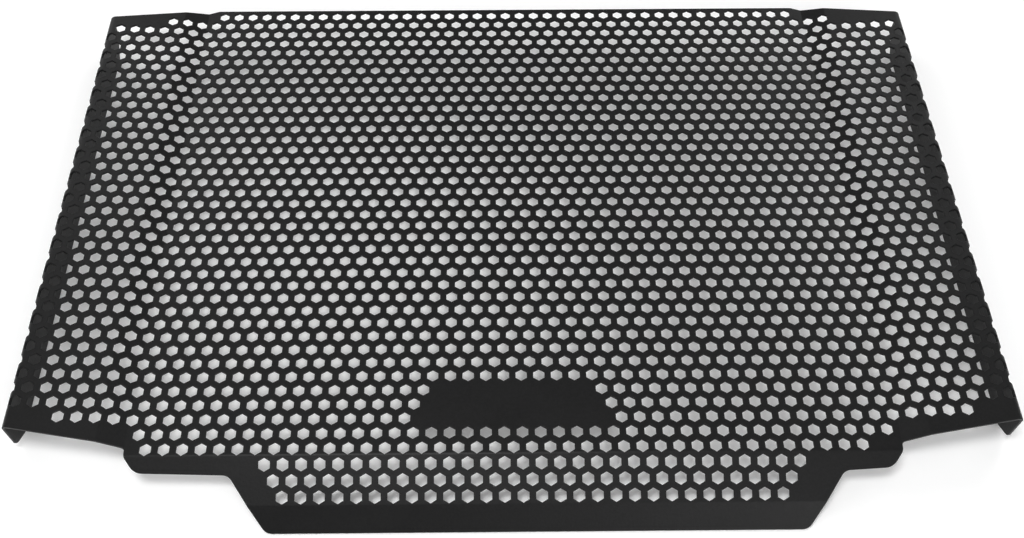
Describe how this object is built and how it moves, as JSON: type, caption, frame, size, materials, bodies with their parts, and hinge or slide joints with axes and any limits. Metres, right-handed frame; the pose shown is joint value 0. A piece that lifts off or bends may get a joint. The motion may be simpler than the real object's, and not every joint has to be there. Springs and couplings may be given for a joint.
{
  "type": "motorcycle radiator guard",
  "caption": "Black powder-coated sheet guard for a motorcycle radiator: a panel of hexagonal holes with raised side strips, side flanges folded back and an offset bottom tab with a plain lip.",
  "frame": {"origin": "centre of the guard's box in plan, on the plane of its rear edges, which it lies on", "axes": "+X across the guard to the right as seen from the front, +Y up the guard toward its top edge, +Z forward out of its front face"},
  "size_m": [0.39, 0.2624, 0.0208],
  "materials": {
    "black_powder_coat": "satin black powder coat"
  },
  "bodies": {
    "root": {"radiator_guard": "black_powder_coat"}
  },
  "joints": []
}
